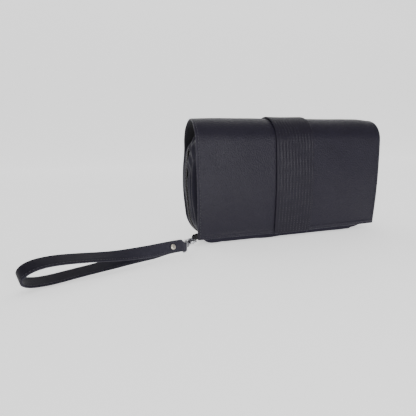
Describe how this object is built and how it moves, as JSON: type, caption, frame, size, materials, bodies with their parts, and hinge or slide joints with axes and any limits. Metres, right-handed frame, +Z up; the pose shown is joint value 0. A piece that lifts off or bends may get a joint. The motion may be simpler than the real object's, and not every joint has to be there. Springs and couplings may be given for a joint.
{
  "type": "makeup bag",
  "caption": "Flat leather makeup clutch with a fold-over front flap, raised stitched centre band, zip-around inner pouch and detachable wrist strap on a swivel clasp.",
  "frame": {"origin": "on the resting face of the bottom strip, midway between the bag's ends and between the fold's front and back", "axes": "+X along the bag's width, away from the wrist strap; -Y towards the front flap; +Z up, towards the top fold"},
  "size_m": [0.4154, 0.1467, 0.1405],
  "materials": {
    "leather": "pebble-grained, satin",
    "band_leather": "pebble-grained, satin",
    "pouch_leather": "soft pebble grain, satin",
    "tab_leather": "smooth, satin",
    "strap_leather": "smooth, satin, dark navy",
    "lining": "matte woven",
    "thread": "waxed thread",
    "strap_thread": "waxed thread",
    "zip_tape": "matte woven tape",
    "zip_metal": "pale nickel, slightly warm",
    "dark_metal": "gunmetal",
    "clasp_metal": "bright nickel",
    "rivet_metal": "pale nickel"
  },
  "bodies": {
    "back": {"back_panel": "leather", "back_lining": "lining", "back_stitching": "thread", "bottom_strip": "leather", "rear_gusset": "pouch_leather", "zip_tape_rear": "zip_tape", "zip_teeth_rear": "zip_metal", "zip_end_stops": "zip_metal", "ring_tab": "tab_leather", "ring_tab_stitching": "thread"},
    "pouch_front": {"pouch_front_panel": "pouch_leather", "pouch_front_lining": "lining", "front_gusset": "pouch_leather", "zip_tape_front": "zip_tape", "zip_teeth_front": "zip_metal"},
    "fold_rear": {"fold_rear_leather": "leather", "fold_rear_lining": "lining", "fold_rear_band": "band_leather", "fold_rear_stitching": "thread"},
    "fold_front": {"fold_front_leather": "leather", "fold_front_lining": "lining", "fold_front_band": "band_leather", "fold_front_stitching": "thread"},
    "flap": {"flap_panel": "leather", "flap_lining": "lining", "flap_band": "band_leather", "flap_edge_stitching": "thread", "flap_band_stitching": "thread"},
    "slider": {"zip_slider": "zip_metal"},
    "puller": {"zip_puller": "zip_metal"},
    "ring": {"d_ring": "dark_metal"},
    "hook": {"clasp_hook": "clasp_metal", "clasp_pin": "clasp_metal", "clasp_spring": "clasp_metal"},
    "gate": {"clasp_gate": "clasp_metal"},
    "swivel": {"clasp_swivel": "clasp_metal"},
    "strap": {"wrist_strap": "strap_leather", "strap_stitching": "strap_thread", "strap_rivet_cap": "rivet_metal", "strap_rivet_base": "rivet_metal"}
  },
  "joints": [
    {"name": "flap_lift", "type": "hinge", "parent": "back", "child": "fold_rear", "pos_m": [0, 0.027, 0.111], "axis": [-1, 0, 0], "range_deg": [0, 70]},
    {"name": "fold_unroll", "type": "hinge", "parent": "fold_rear", "child": "fold_front", "pos_m": [0, 0, 0.1402], "axis": [-1, 0, 0], "range_deg": [0, 70]},
    {"name": "flap_unroll", "type": "hinge", "parent": "fold_front", "child": "flap", "pos_m": [0, -0.0292, 0.111], "axis": [-1, 0, 0], "range_deg": [0, 70]},
    {"name": "pouch_open", "type": "hinge", "parent": "back", "child": "pouch_front", "pos_m": [0, -0.0155, 0.0021], "axis": [1, 0, 0], "range_deg": [0, 35]},
    {"name": "zip_slide", "type": "slide", "parent": "back", "child": "slider", "axis": [0, 0, 1], "range_m": [0, 0.042]},
    {"name": "puller_swing", "type": "hinge", "parent": "slider", "child": "puller", "pos_m": [0.1191, 0.013, 0.0404], "axis": [0, -1, 0], "range_deg": [0, 100]},
    {"name": "ring_swing", "type": "hinge", "parent": "back", "child": "ring", "pos_m": [-0.1235, -0.0185, 0.008], "axis": [0, 0, 1], "range_deg": [-40, 40]},
    {"name": "hook_swing", "type": "hinge", "parent": "ring", "child": "hook", "pos_m": [-0.12786, -0.02521, 0.008], "axis": [0, 0, 1], "range_deg": [-50, 50]},
    {"name": "gate_open", "type": "hinge", "parent": "hook", "child": "gate", "pos_m": [-0.13086, -0.0359, 0.008], "axis": [0, 0, 1], "range_deg": [0, 22], "stiffness_Nm_per_rad": 0.01, "springref_deg": -17.19},
    {"name": "swivel_spin", "type": "hinge", "parent": "hook", "child": "swivel", "pos_m": [-0.12786, -0.02521, 0.008], "axis": [-0.5446, -0.8387, 0], "continuous": true},
    {"name": "strap_swing", "type": "hinge", "parent": "swivel", "child": "strap", "pos_m": [-0.14529, -0.05205, 0.008], "axis": [0, 0, 1], "range_deg": [-30, 30]}
  ],
  "couplings": [
    {"joint": "fold_unroll", "follows": "flap_lift", "ratio": 1},
    {"joint": "flap_unroll", "follows": "flap_lift", "ratio": 1},
    {"joint": "pouch_open", "follows": "flap_lift", "ratio": 0.5}
  ]
}
